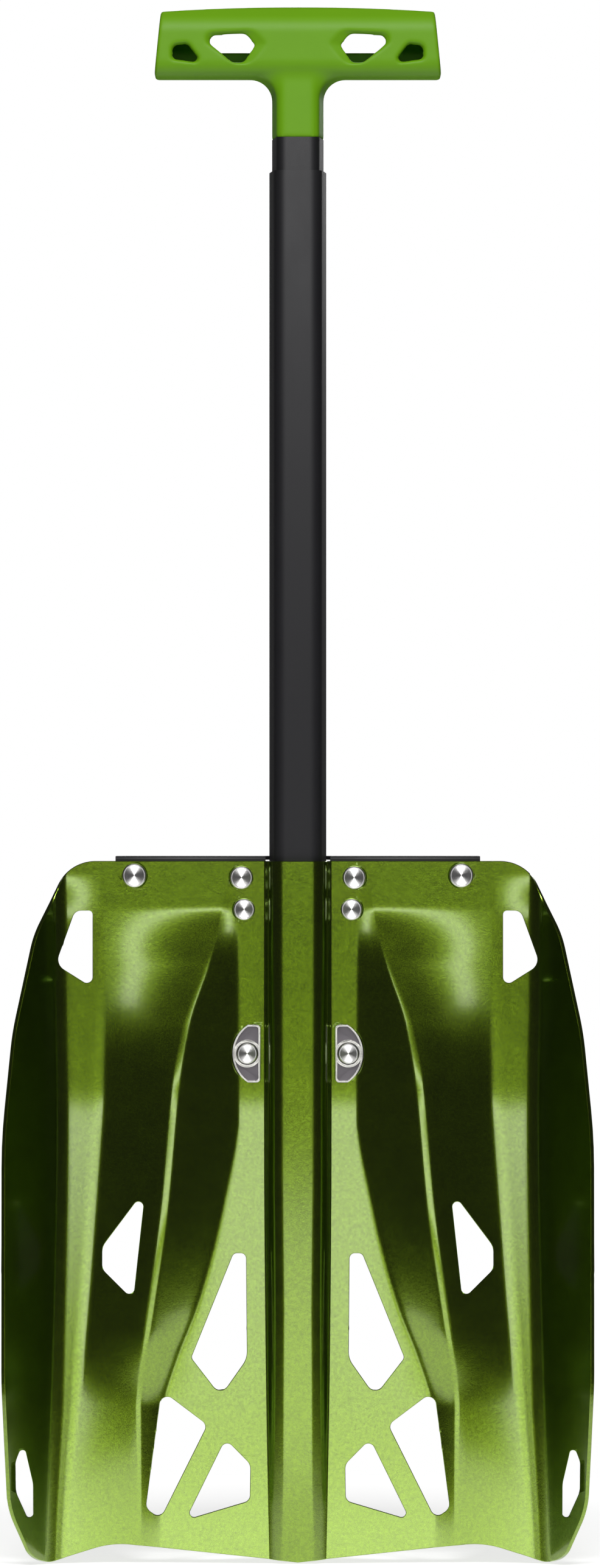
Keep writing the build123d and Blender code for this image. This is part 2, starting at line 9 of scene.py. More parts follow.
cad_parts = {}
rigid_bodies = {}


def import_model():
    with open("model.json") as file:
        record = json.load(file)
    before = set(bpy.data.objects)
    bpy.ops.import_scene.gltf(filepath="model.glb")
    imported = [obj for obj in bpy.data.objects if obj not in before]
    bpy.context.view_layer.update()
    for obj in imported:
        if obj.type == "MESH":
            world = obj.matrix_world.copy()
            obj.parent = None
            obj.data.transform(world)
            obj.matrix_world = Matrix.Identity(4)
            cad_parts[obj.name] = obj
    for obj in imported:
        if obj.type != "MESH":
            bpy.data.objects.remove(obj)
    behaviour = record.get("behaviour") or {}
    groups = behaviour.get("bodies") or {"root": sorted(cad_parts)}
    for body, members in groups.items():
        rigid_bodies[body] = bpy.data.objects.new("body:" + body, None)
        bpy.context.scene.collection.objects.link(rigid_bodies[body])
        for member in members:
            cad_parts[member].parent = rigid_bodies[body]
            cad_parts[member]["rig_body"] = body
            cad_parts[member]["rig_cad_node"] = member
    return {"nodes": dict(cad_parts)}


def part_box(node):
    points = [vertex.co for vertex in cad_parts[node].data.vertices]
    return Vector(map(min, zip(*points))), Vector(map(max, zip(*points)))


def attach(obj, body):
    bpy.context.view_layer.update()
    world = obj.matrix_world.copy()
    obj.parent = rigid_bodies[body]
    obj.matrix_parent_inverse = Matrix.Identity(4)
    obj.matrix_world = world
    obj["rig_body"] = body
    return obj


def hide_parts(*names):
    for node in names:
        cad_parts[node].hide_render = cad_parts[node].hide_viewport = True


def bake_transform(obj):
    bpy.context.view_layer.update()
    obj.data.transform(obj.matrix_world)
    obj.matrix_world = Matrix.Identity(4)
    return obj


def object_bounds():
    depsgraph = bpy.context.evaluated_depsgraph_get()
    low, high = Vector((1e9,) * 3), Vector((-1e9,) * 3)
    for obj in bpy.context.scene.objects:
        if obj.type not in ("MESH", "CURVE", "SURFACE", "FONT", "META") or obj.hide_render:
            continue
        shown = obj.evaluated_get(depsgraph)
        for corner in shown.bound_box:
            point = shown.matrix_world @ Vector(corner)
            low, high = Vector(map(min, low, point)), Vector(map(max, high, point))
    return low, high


bl_info = {
    "name": "Avalanche Shovel",
    "version": (1, 0, 0),
    "blender": (4, 5, 0),
    "location": "3D View > Sidebar > Shovel",
    "description": "Models the finished shovel around its CAD frame and lights it",
    "category": "Add Mesh",
}

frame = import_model()
cad_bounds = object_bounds()

# Millimetres in the tables below; the meshes are in metres
MM = 0.001


# Lines pressed into each half of the blade, as (height, distance from the centre) or (height, rise)
RIDGE_LINE = [(64, 65.0), (96, 61.0), (144, 54.6), (194, 50.1), (221, 45.4), (245, 37.4), (275, 30.0)]
RIDGE_RISE = [(0, 1.0), (64, 3.5), (96, 7.5), (144, 9.5), (194, 9.0), (221, 6.5), (245, 3.6), (268, 0.4)]
WEDGE_LINE = [(64, 56.0), (86, 50.0), (104, 42.6), (124, 36.4), (148, 30.6), (180, 24.4)]
PAN_LINE = [(0, 25.0), (72, 30.5), (112, 34.5), (152, 37.6), (190, 40.0)]
CREASE_LINE = [(3, 17.4), (72, 19.7), (187, 21.7), (235, 21.0)]
CREASE_RISE = [(0, 1.4), (190, 2.6), (262, 2.6), (282, 1.0)]

# Blade and socket sizes
BLADE_HEIGHT = 287.6
BLADE_HALF = 121.0
SHEET = 1.8
KICK_HEIGHT = 190.0
KICK_SLOPE = math.tan(math.radians(3.8))
KICK_SOFTNESS = 4.0
WALL_SLOPE = math.tan(math.radians(58.0))
WALL_SPARE = 6.0
SECTION_SPARE = 8.0
SOCKET_CROWN = 14.3
SOCKET_HALF_FRONT = 9.87
SOCKET_HALF_FOOT = 11.25
CHANNEL_NARROWING = 3.5
CHANNEL_LOW_HEIGHT = 12.0
CROWN_LEAST = 1.0

# How far the cutters reach behind and in front of the blade
TRIM_REACH = (60, -90)
CUT_REACH = (40, -80)

# Angles in degrees: corners over these are rounded
BLADE_EDGE_ANGLE = 48
CUP_EDGE_ANGLE = 50
COPY_EDGE_ANGLE = 40

# Angles in degrees: faces within these count as one flat
CUP_FLAT_ANGLE = 0.5
COPY_FLAT_ANGLE = 0.4

# Angles in degrees: corners over these stay sharp under smooth shading
SHARP_ANGLE = 34
GROOVE_SHARP_ANGLE = 30
DOME_SHARP_ANGLE = 40

# Radii of the sheet's bends and the mesh's steps, from the channel's crown out to the rim
BEND_RADII = [5.8, 3.0, 12.0, 6.0, 15.8, 10.8]
BEND_STEPS = [7, 5, 4, 7, 6, 8]
RUN_STEPS = [3, 3, 4, 6, 8, 5, 8]
ROW_HEIGHT = 1.4

# The most of a flat run that one bend takes up, and the turn in radians that counts as straight
LONGEST_BEND_SHARE = 0.46
STRAIGHT_TURN = 0.01

# Corners of the blade's outline and of its lightening holes in one half, as (x, z, radius)
RIM_CORNERS = [
    (94.1, 287.6, 17),
    (108.6, 257.5, 45),
    (116.9, 217.6, 120),
    (121.0, 174.8, 250),
    (121.0, 75.0, 200),
    (118.7, 23.5, 40),
    (108.3, -2.1, 10),
    (76.0, 8.0, 38),
]
HOLES = [
    [(84.5, 267.2, 1.6), (84.5, 235.5, 2.4), (99.6, 245.1, 5.0), (91.7, 267.2, 3.6)],
    [(62.7, 152.8, 2.0), (67.6, 107.5, 2.2), (80.4, 119.9, 4.5), (80.4, 129.1, 7.0)],
    [(21.3, 126.4, 2.2), (26.4, 126.4, 2.2), (43.8, 83.5, 2.0), (31.7, 67.9, 3.6), (20.9, 83.2, 9.0)],
    [(56.0, 70.2, 3.2), (37.2, 56.1, 3.0), (56.4, 17.8, 3.0), (62.4, 22.0, 4.0)],
    [(29.7, 50.3, 2.6), (19.5, 40.0, 4.5), (19.7, 25.1, 3.0), (46.0, 17.3, 1.8)],
    [(112.2, 50.6, 1.4), (115.3, 42.5, 8.0), (115.1, 30.0, 10.0), (108.3, 13.6, 1.4), (108.4, 33.0, 12.0)],
]

# Rivets: row name, distance from the centre, height and head diameter
RIVET_ROWS = [
    ("step_rivets", 67.3, 281.7, 10.0),
    ("upper_rivets", 23.2, 280.8, 9.6),
    ("middle_rivets", 22.1, 267.7, 9.0),
    ("lower_rivets", 20.8, 208.4, 8.7),
]
RIVET_PAD_MARGIN = 0.3
HEAD_HEIGHT = 1.7
TAIL_HEIGHT = 1.3
FACE_INSET = 0.75
CENTRE_PIP = 0.34
FACE_CONE = 0.12
GROOVE_DEPTH = 0.055
SHANK_RADIUS = 2.4
SPIN_STEPS = 72

# Points of a rivet's profile, as (radius, y): the centre pip from the head's top, the edge of the turned face
# from its radius and the top, the head's edge from its radius and the top, its underside from its radius and
# the seat, and the tail from the axis and the tail's seat
PIP_POINTS = [(0.0, 0.16), (0.16, 0.12), (CENTRE_PIP, 0.0)]
FACE_POINTS = [(0.0, 0.16), (0.06, 0.02), (0.2, 0.0)]
EDGE_POINTS = [(-0.28, 0.14), (-0.1, 0.42), (0.0, 0.8)]
UNDER_POINTS = [(0.0, -0.12), (-0.1, 0.0)]
TAIL_POINTS = [
    (SHANK_RADIUS, 0.0),
    (3.7, 0.0),
    (3.8, 0.1),
    (3.8, 0.7),
    (3.6, 1.1),
    (3.2, 1.3),
    (1.2, 1.3),
    (0.9, 1.15),
    (0.0, 1.15),
]

# The grip rivet's dome and shank, as (radius, y) from its back
DOME_POINTS = [(0.0, 0.0), (1.2, -0.02), (2.4, -0.2), (3.2, -0.55), (3.5, -1.0), (3.5, -1.2), (2.0, -1.2)]
GRIP_SHANK_RADIUS = 2.0

# Sizes of the pressed cups
CUP_INNER = 15.5
CUP_OUTER = 26.9
CUP_LENGTH = 23.8
CUP_SHOULDER = 5.0
CUP_RIVET = (20.8, 208.4)
CUP_RIM = 0.75
CUP_DEPTH = 1.2
CUP_BOSS = 5.75
CUP_SEAT = 4.6
CUP_CORNER = 1.6
CUP_BORE = 2.45
CUP_GAP = 0.2
CUP_EDGE = 0.22
CUTTER_SPARE = 2

# Distances forward, in metres, between which a cup's colour goes from the shade painted dark into its recess
# to the highlight painted light on its raised rims, and its satin turns polished
CUP_SHADE_TO_POLISH = (0.0027, 0.0035)

# Windows in the grip's front wall, as (x, rise over the bar's foot, radius) corners, then how its bevelled
# surround spreads, as (wider, taller, x and rise that stay)
GRIP_WINDOWS = [
    (
        [
            (35.9, 16.6, 2.2),
            (21.5, 17.5, 4.0),
            (17.6, 12.7, 1.2),
            (22.4, 5.7, 2.0),
            (27.0, 5.7, 2.6),
            (35.9, 13.2, 1.0),
        ],
        (1.50, 1.27, 30.4, 9.4),
    ),
    (
        [(51.3, 12.6, 2.4), (45.4, 13.2, 2.2), (41.2, 7.7, 1.0), (42.2, 5.9, 1.2), (51.3, 7.2, 1.4)],
        (1.30, 1.38, 46.6, 9.5),
    ),
]
GRIP_BAR_FOOT = 609.7
GRIP_FRONT = -15.5
SURROUND_DEPTH = 1.9
SURROUND_SPARE = 0.4

# Shares of a leaf spring's depth between which it bends as its button is pressed
LEAF_HOLD = (0.15, 0.6)

# The stage: x and y of the shovel's middle and the floor, in metres, and the camera's sensor in millimetres
STAGE_MIDDLE = (0.0009, -0.01)
FLOOR_RADIUS = 0.5
FLOOR_HEIGHT = -0.0006
SENSOR = 36

# Brightness of the studio around the shovel, and of what the camera sees past it
STUDIO_STRENGTH = 0.03
SEEN_STRENGTH = 1.0

# Lights, as name, place, aim (None for the shovel's middle), size, and power or the setting that holds it
LIGHTS = [
    ("key", (0, -2.4, 2.3), None, (1.5, 0.9), "key_power"),
    ("front_panel", (0, -20, 1.95), (0, 0, 1.95), (13.4, 1.3), "panel_power"),
    ("low_panel", (0, -1.2, -0.01), (0, 0, -0.01), (0.6, 0.22), 0.66),
    ("left_rim", (-1.1, 1.9, 0.6), None, (0.4, 1.6), 0.6),
    ("right_rim", (1.1, 1.9, 0.6), None, (0.4, 1.6), 0.6),
    ("back", (0.3, 2.3, 1.3), None, (1.4, 1.2), 12),
]


class ShovelBladeSettings(bpy.types.PropertyGroup):
    edge_round: FloatProperty(
        name="Edge round",
        description="Width of the small round on the sheet's cut edges",
        default=0.00022,
        unit="LENGTH",
    )
    groove_pitch: FloatProperty(
        name="Groove pitch",
        description="Distance between the turned grooves on a rivet's head",
        default=0.0003,
        unit="LENGTH",
    )


class ShovelGripSettings(bpy.types.PropertyGroup):
    voxel: FloatProperty(
        name="Voxel",
        description="Size of the mesh that rounds the moulded grip's corners",
        default=0.00065,
        unit="LENGTH",
    )
    smoothing: IntProperty(
        name="Smoothing",
        description="Number of smoothing passes over the moulded grip",
        default=4,
    )


class ShovelColourSettings(bpy.types.PropertyGroup):
    blade: FloatVectorProperty(
        name="Blade",
        description="Colour of the anodised blade",
        subtype="COLOR",
        default=(0.19, 0.31, 0.005),
    )
    grip: FloatVectorProperty(
        name="Grip",
        description="Colour of the moulded grip",
        subtype="COLOR",
        default=(0.19, 0.47, 0.006),
    )
    shaft: FloatVectorProperty(
        name="Shaft",
        description="Colour of the anodised shaft",
        subtype="COLOR",
        default=(0.0135, 0.013, 0.0155),
    )


class ShovelStudioSettings(bpy.types.PropertyGroup):
    distance: FloatProperty(
        name="Camera distance",
        description="From the shovel to the camera",
        default=4.0,
        unit="LENGTH",
    )
    view_height: FloatProperty(
        name="View height",
        description="Height of the picture at the shovel",
        default=0.644,
        unit="LENGTH",
    )
    key_power: FloatProperty(
        name="Key power",
        description="Power of the light above and in front",
        default=62.0,
    )
    panel_power: FloatProperty(
        name="Panel power",
        description="Power of the far panel that the blade mirrors",
        default=192.0,
    )


class Wire:
    """A node's output that Python's operators combine, adding the Math nodes they need."""

    def __init__(self, finish, socket):
        self.finish = finish
        self.socket = socket

    def maths(self, operation, *values):
        """This value and others through a Math node."""
        inputs = dict(enumerate([self, *values]))
        return self.finish.node("ShaderNodeMath", {"operation": operation}, inputs)

    def __add__(self, other):
        return self.maths("ADD", other)

    def __sub__(self, other):
        return self.maths("SUBTRACT", other)

    def __rsub__(self, other):
        return self.maths("MULTIPLY_ADD", -1.0, other)

    def __mul__(self, other):
        return self.maths("MULTIPLY", other)

    __radd__ = __add__
    __rmul__ = __mul__

    def between(self, low, high):
        """This value's share of the way from low to high, kept within 0 and 1."""
        inputs = {"Value": self, "From Min": low, "From Max": high}
        return self.finish.node("ShaderNodeMapRange", {"clamp": True}, inputs)


class Finish:
    """A material and the one method that adds nodes to it."""

    def __init__(self, name):
        self.material = bpy.data.materials.new(name)
        self.material.use_nodes = True
        self.tree = self.material.node_tree
        self.tree.nodes.clear()
        self.place = self.node("ShaderNodeTexCoord", out="Object")

    def node(self, kind, settings=None, inputs=None, out=0):
        """A node of this kind: its settings first, then its sockets' values or links."""
        made = self.tree.nodes.new(kind)
        for key, value in (settings or {}).items():
            setattr(made, key, value)
        for key, value in (inputs or {}).items():
            if isinstance(value, Wire):
                self.tree.links.new(value.socket, made.inputs[key])
            else:
                made.inputs[key].default_value = value
        return Wire(self, made.outputs[out])

    def noise(self, size, detail=2.0, roughness=0.5, stretch=None):
        """Noise about 0.5 whose features are size metres across."""
        vector = self.place
        if stretch:
            vector = self.node("ShaderNodeMapping", None, {"Vector": self.place, "Scale": stretch})
        inputs = {"Vector": vector, "Scale": 1 / size, "Detail": detail, "Roughness": roughness}
        return self.node("ShaderNodeTexNoise", None, inputs)

    def blend(self, factor, first, second):
        """A colour between first and second."""
        inputs = {0: factor, 6: first, 7: second}
        return self.node("ShaderNodeMix", {"data_type": "RGBA"}, inputs, 2)

    def bump(self, height, distance, strength, normal=None):
        """A normal that follows height over distance, on top of another normal if there is one."""
        inputs = {"Height": height, "Distance": distance, "Strength": strength}
        if normal:
            inputs["Normal"] = normal
        return self.node("ShaderNodeBump", None, inputs)

    def surface(self, inputs):
        """Ends the material in a Principled shader with these inputs."""
        shader = self.node("ShaderNodeBsdfPrincipled", None, inputs, "BSDF")
        output = self.tree.nodes.new("ShaderNodeOutputMaterial")
        self.tree.links.new(shader.socket, output.inputs["Surface"])
        return self.material


def rgba(colour, share):
    """A colour as four numbers, made darker or lighter by share."""
    return tuple(channel * share for channel in colour) + (1.0,)


def anodised_green():
    """Green anodised sheet: metal with a fine sparkling grain under a thin clear layer."""
    colours = bpy.context.scene.shovel_colours
    finish = Finish("grained_green_anodising")
    flakes = finish.noise(0.00042, 3.0, 0.65)
    clouds = finish.noise(0.009, 3.0, 0.55)
    wear = finish.noise(0.0012, 4.0, 0.65)
    shade = (flakes - 0.5) * 1.3 + (clouds - 0.5) * 0.25 + (wear - 0.5) * 1.1 + 0.5
    base = finish.blend(shade, rgba(colours.blade, 0.60), rgba(colours.blade, 1.4))
    roughness = 0.2 + (flakes - 0.5) * 0.14 + (clouds - 0.5) * 0.05
    normal = finish.bump(flakes, 0.00003, 0.4)
    normal = finish.bump(wear, 0.00006, 0.3, normal)
    return finish.surface(
        {
            "Base Color": base,
            "Metallic": 1.0,
            "Roughness": roughness,
            "Normal": normal,
            "Coat Weight": 1.0,
            "Coat Roughness": 0.12,
            "Coat IOR": 1.7,
        }
    )


def coated_black():
    """Black powder coat over pressed sheet."""
    finish = Finish("black_powder_coat")
    grain = finish.noise(0.0006, 3.0, 0.6)
    clouds = finish.noise(0.012, 2.0)
    base = finish.blend(clouds, (0.012, 0.012, 0.013, 1), (0.022, 0.022, 0.024, 1))
    normal = finish.bump(grain, 0.00005, 0.5)
    return finish.surface({"Base Color": base, "Roughness": 0.42 + (grain - 0.5) * 0.2, "Normal": normal})


def anodised_black():
    """Matte charcoal anodised tube, drawn along its length."""
    colours = bpy.context.scene.shovel_colours
    finish = Finish("drawn_black_anodising")
    grain = finish.noise(0.0004, 3.0, 0.6)
    drawn = finish.noise(0.0009, 2.0, 0.5, (1.0, 1.0, 0.02))
    scuffs = finish.noise(0.011, 4.0, 0.6, (1.0, 1.0, 0.5))
    shade = (grain - 0.5) * 0.3 + (drawn - 0.5) * 0.25 + (scuffs - 0.5) * 0.3 + 0.5
    base = finish.blend(shade, rgba(colours.shaft, 0.8), rgba(colours.shaft, 1.25))
    roughness = 0.55 + (grain - 0.5) * 0.12 + (scuffs - 0.5) * 0.1
    normal = finish.bump(grain, 0.00003, 0.5)
    normal = finish.bump(drawn, 0.00004, 0.25, normal)
    return finish.surface(
        {"Base Color": base, "Metallic": 0.0, "Roughness": roughness, "Normal": normal}
    )


def bare_metal(name, colour, roughness, grain_size, grain_depth):
    """Bare aluminium or steel with a fine grain."""
    finish = Finish(name)
    grain = finish.noise(grain_size, 3.0, 0.6)
    clouds = finish.noise(0.004, 3.0, 0.5)
    shade = (grain - 0.5) * 0.5 + (clouds - 0.5) * 0.3 + 0.5
    base = finish.blend(shade, rgba(colour, 0.88), rgba(colour, 1.1))
    normal = finish.bump(grain, grain_depth, 0.4)
    return finish.surface(
        {
            "Base Color": base,
            "Metallic": 1.0,
            "Roughness": roughness + (grain - 0.5) * 0.12,
            "Normal": normal,
        }
    )


def pressed_cup():
    """Satin pressed cups with shade painted dark into the recessed floor and a highlight painted light on the
    raised rims and band, which are also polished by wear.
    """
    finish = Finish("worn_satin_cup")
    y = finish.node("ShaderNodeSeparateXYZ", None, {0: finish.place}, 1)
    raised = (y * -1.0).between(*CUP_SHADE_TO_POLISH)
    grain = finish.noise(0.0003, 3.0, 0.6)
    # Painted shade and highlight: the recessed floor is coloured dark and the raised rims and band light
    base = finish.blend(raised, (0.20, 0.185, 0.20, 1), (0.76, 0.75, 0.70, 1))
    # Polish by wear: the raised rims and band are smoother
    roughness = 0.42 - raised * 0.2 + (grain - 0.5) * 0.14
    normal = finish.bump(grain, 0.00002, 0.5)
    return finish.surface({"Base Color": base, "Metallic": 1.0, "Roughness": roughness, "Normal": normal})


def black_nylon():
    """Moulded black nylon."""
    finish = Finish("moulded_black_nylon")
    grain = finish.noise(0.0005, 3.0, 0.6)
    base = finish.blend(grain, (0.022, 0.022, 0.022, 1), (0.034, 0.034, 0.034, 1))
    normal = finish.bump(grain, 0.00004, 0.6)
    return finish.surface({"Base Color": base, "Roughness": 0.5 + (grain - 0.5) * 0.2, "Normal": normal})


def moulded_green():
    """Bright green moulded plastic with a fine matte texture."""
    colours = bpy.context.scene.shovel_colours
    finish = Finish("moulded_green_nylon")
    pores = finish.noise(0.00035, 3.0, 0.65)
    clouds = finish.noise(0.014, 3.0, 0.5)
    shade = (pores - 0.5) * 0.3 + (clouds - 0.5) * 0.3 + 0.5
    base = finish.blend(shade, rgba(colours.grip, 0.9), rgba(colours.grip, 1.1))
    normal = finish.bump(pores, 0.00005, 0.6)
    return finish.surface(
        {
            "Base Color": base,
            "Roughness": 0.52 + (pores - 0.5) * 0.2,
            "Normal": normal,
            "Specular IOR Level": 0.4,
        }
    )


def pale_floor():
    """A plain pale matte floor."""
    finish = Finish("pale_floor")
    speckle = finish.noise(0.004, 3.0, 0.5)
    base = finish.blend(speckle, (0.86, 0.86, 0.86, 1), (0.89, 0.89, 0.89, 1))
    return finish.surface(
        {"Base Color": base, "Roughness": 0.9, "Emission Color": (1, 1, 1, 1), "Emission Strength": 0.66}
    )


FINISHES = {
    "anodised_green": anodised_green,
    "coated_black": coated_black,
    "anodised_black": anodised_black,
    "bare_rivet": lambda: bare_metal("turned_rivet", (0.80, 0.79, 0.78), 0.3, 0.0002, 0.000002),
    "bare_washer": lambda: bare_metal("stamped_washer", (0.66, 0.66, 0.66), 0.34, 0.0004, 0.00001),
    "bare_cup": pressed_cup,
    "bare_button": lambda: bare_metal("turned_button", (0.62, 0.62, 0.61), 0.22, 0.0003, 0.000006),
    "spring_steel": lambda: bare_metal("rolled_spring", (0.50, 0.50, 0.49), 0.3, 0.0005, 0.00001),
    "black_nylon": black_nylon,
    "moulded_green": moulded_green,
}


# Materials made so far, by slot
MADE = {}


def finish_named(slot):
    """The material for one of the record's slots, made the first time it is asked for."""
    if slot not in MADE:
        MADE[slot] = FINISHES[slot]()
    return MADE[slot]


def deselect():
    """Leaves no object selected."""
    bpy.ops.object.select_all(action="DESELECT")


def choose(piece):
    """Makes piece the only selected and the active object."""
    deselect()
    piece.select_set(True)
    bpy.context.view_layer.objects.active = piece


def apply_modifier(piece, kind, **settings):
    """Adds a modifier with these settings and applies it."""
    choose(piece)
    modifier = piece.modifiers.new(kind.lower(), kind)
    for key, value in settings.items():
        setattr(modifier, key, value)
    bpy.ops.object.modifier_apply(modifier=modifier.name)


def edit(piece, *steps):
    """Runs edit-mode steps on all of the piece's mesh."""
    choose(piece)
    bpy.ops.object.mode_set(mode="EDIT")
    bpy.ops.mesh.select_all(action="SELECT")
    for step in steps:
        step()
    bpy.ops.object.mode_set(mode="OBJECT")


def smooth(piece, degrees):
    """Smooth shading that stays sharp at corners over this angle."""
    choose(piece)
    bpy.ops.object.shade_smooth_by_angle(angle=math.radians(degrees))


def finished(piece, slot, body, *nodes):
    """Gives a piece the material of its slot and parents it to its body, or only bakes its transform when
    given a bent pair of bodies, and hides the CAD nodes that it stands for.
    """
    piece.data.materials.clear()
    piece.data.materials.append(finish_named(slot))
    if isinstance(body, str):
        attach(piece, body)
    else:
        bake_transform(piece)
    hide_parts(*nodes)
    return piece


def joined(pieces, name):
    """Several objects as one."""
    deselect()
    for piece in pieces:
        piece.select_set(True)
    bpy.context.view_layer.objects.active = pieces[0]
    if len(pieces) > 1:
        bpy.ops.object.join()
    pieces[0].name = name
    return pieces[0]


def rounded(corners, closed, degrees):
    """A path through (x, z, radius) corners with each one rounded, as (x, z) points."""
    count = len(corners)
    path = []
    for index, (x, z, radius) in enumerate(corners):
        if not closed and index in (0, count - 1):
            path.append((x, z))
            continue
        here = np.array((x, z), float)
        before = np.array(corners[index - 1][:2], float) - here
        after = np.array(corners[(index + 1) % count][:2], float) - here
        before /= np.linalg.norm(before)
        after /= np.linalg.norm(after)
        half = math.acos(np.clip(before @ after, -1, 1)) / 2
        reach = radius / math.tan(half)
        centre = here + (before + after) / np.linalg.norm(before + after) * radius / math.sin(half)
        start = here + before * reach - centre
        turn = math.pi - 2 * half
        side = 1 if before[0] * after[1] - before[1] * after[0] < 0 else -1
        steps = max(2, math.ceil(math.degrees(turn) / degrees))
        for step in range(steps + 1):
            angle = side * turn * step / steps
            spin = np.array(((math.cos(angle), -math.sin(angle)), (math.sin(angle), math.cos(angle))))
            path.append(tuple(centre + spin @ start))
    return path


def prism(outline, back, front, name="cutter", spread=(1, 1, 0, 0)):
    """A closed solid from an (x, z) outline in millimetres, along Y from back to front.

    Its front is made wider and taller by spread, about a point that stays.
    """
    deselect()
    bpy.ops.mesh.primitive_circle_add(vertices=len(outline), fill_type="NGON")
    piece = bpy.context.object
    piece.name = name
    for vertex, (x, z) in zip(piece.data.vertices, outline):
        vertex.co = (x * MM, back * MM, z * MM)
    depth = (0, (front - back) * MM, 0)
    wider, taller, x, z = spread
    edit(
        piece,
        lambda: bpy.ops.mesh.extrude_region_move(TRANSFORM_OT_translate={"value": depth}),
        lambda: bpy.ops.transform.resize(
            value=(wider, 1, taller), center_override=(x * MM, front * MM, z * MM)
        ),
        lambda: bpy.ops.mesh.select_all(action="SELECT"),
        lambda: bpy.ops.mesh.normals_make_consistent(inside=False),
    )
    return piece


def circle_outline(x, z, radius, steps=48):
    """A circle about (x, z) as (x, z) points."""
    turn = 2 * math.pi / steps
    return [(x + radius * math.cos(turn * i), z + radius * math.sin(turn * i)) for i in range(steps)]


def mirrored_outline(outline):
    """The same outline on the other side of the centre plane, running the same way round."""
    return [(-x, z) for x, z in reversed(outline)]


def cup_outline(grow):
    """A rivet cup's D-shaped outline on the right, moved out all round by grow."""
    middle = CUP_RIVET[1]
    low = middle - CUP_LENGTH / 2 - grow
    high = middle + CUP_LENGTH / 2 + grow
    inner = CUP_INNER - grow
    shoulder = CUP_INNER + CUP_SHOULDER
    bulge = CUP_OUTER + grow - shoulder
    half = (high - low) / 2
    radius = (half * half + bulge * bulge) / (2 * bulge)
    centre = shoulder + bulge - radius
    sweep = math.asin(half / radius) if bulge < radius else math.pi - math.asin(half / radius)
    steps = 32
    arc = []
    for step in range(steps + 1):
        angle = -sweep + 2 * sweep * step / steps
        arc.append((centre + radius * math.cos(angle), middle + radius * math.sin(angle)))
    return arc + [(inner, high), (inner, low)]


def rounded_cup(grow):
    """The cup's outline with its two inner corners rounded."""
    points = cup_outline(grow)
    arc, (inner, high), (_, low) = points[:-2], points[-2], points[-1]
    corner = CUP_CORNER + grow / 2
    steps = 6
    path = list(arc)
    for centre_z, start in ((high - corner, 90), (low + corner, 180)):
        for step in range(steps + 1):
            angle = math.radians(start + 90 * step / steps)
            path.append((inner + corner + corner * math.cos(angle), centre_z + corner * math.sin(angle)))
    return path


def along(z, stops):
    """A value at height z on a smooth line through (height, value) stops that never overshoots them."""
    heights = [h for h, v in stops]
    if z <= heights[0]:
        return stops[0][1]
    if z >= heights[-1]:
        return stops[-1][1]
    slopes = [(b[1] - a[1]) / (b[0] - a[0]) for a, b in zip(stops, stops[1:])]
    tangents = [0.0]
    for first, second in zip(slopes, slopes[1:]):
        tangents.append(0.0 if first * second <= 0 else 2 * first * second / (first + second))
    tangents.append(0.0)
    tangents[0], tangents[-1] = slopes[0] * 0.5, slopes[-1] * 0.5
    index = max(i for i, h in enumerate(heights[:-1]) if h <= z)
    run = heights[index + 1] - heights[index]
    t = (z - heights[index]) / run
    first, second = stops[index][1], stops[index + 1][1]
    return (
        (2 * t**3 - 3 * t**2 + 1) * first
        + (t**3 - 2 * t**2 + t) * run * tangents[index]
        + (3 * t**2 - 2 * t**3) * second
        + (t**3 - t**2) * run * tangents[index + 1]
    )


def kick(z):
    """How far the sheet has come forward at height z, below the line where the blade bends."""
    return KICK_SOFTNESS * math.log1p(math.exp((KICK_HEIGHT - z) / KICK_SOFTNESS)) * KICK_SLOPE


def section_corners(z):
    """The sheet's back face at height z, from the centre to beyond the rim, as (x, forward)."""
    crown = max(SOCKET_CROWN - kick(z), CROWN_LEAST)
    narrowing = CHANNEL_NARROWING * max(CHANNEL_LOW_HEIGHT - crown, 0) / CHANNEL_LOW_HEIGHT
    crease_x = BLADE_HALF - along(z, CREASE_LINE)
    rise = along(z, CREASE_RISE)
    rim_x = BLADE_HALF + WALL_SPARE
    points = [
        (0, crown),
        (SOCKET_HALF_FRONT - narrowing, crown),
        (SOCKET_HALF_FOOT, 0),
        (along(z, WEDGE_LINE), 0),
        (along(z, RIDGE_LINE), along(z, RIDGE_RISE)),
        (BLADE_HALF - along(z, PAN_LINE), 0),
        (crease_x, rise),
        (rim_x, rise + (rim_x - crease_x) * WALL_SLOPE),
    ]
    return np.array(points, float) + (0, kick(z))


def section_points(z):
    """The rounded section at height z with the same number of points at every height."""
    corners = section_corners(z)
    ways = np.diff(corners, axis=0)
    lengths = np.linalg.norm(ways, axis=1)
    ways /= lengths[:, None]
    starts, ends, arcs = [corners[0]], [], []
    for index, (radius, steps) in enumerate(zip(BEND_RADII, BEND_STEPS)):
        first, second = ways[index], ways[index + 1]
        corner = corners[index + 1]
        turn = math.atan2(first[0] * second[1] - first[1] * second[0], first @ second)
        longest = LONGEST_BEND_SHARE * min(lengths[index], lengths[index + 1])
        reach = min(radius * abs(math.tan(turn / 2)), longest)
        begin, end = corner - first * reach, corner + second * reach
        arc = []
        for step in range(1, steps):
            share = step / steps
            if abs(turn) < STRAIGHT_TURN:
                arc.append(begin + (end - begin) * share)
                continue
            true_radius = reach / math.tan(abs(turn) / 2)
            side = math.copysign(1, turn)
            centre = begin + np.array((-first[1], first[0])) * side * true_radius
            angle = turn * share
            spoke = begin - centre
            c, s = math.cos(angle), math.sin(angle)
            turned = np.array((c * spoke[0] - s * spoke[1], s * spoke[0] + c * spoke[1]))
            arc.append(centre + turned)
        ends.append(begin)
        arcs.append(arc)
        starts.append(end)
    ends.append(corners[-1])
    points = []
    for index, steps in enumerate(RUN_STEPS):
        for step in range(steps):
            points.append(starts[index] + (ends[index] - starts[index]) * step / steps)
        points.append(ends[index])
        if index < len(arcs):
            points.extend(arcs[index])
    return np.array(points)


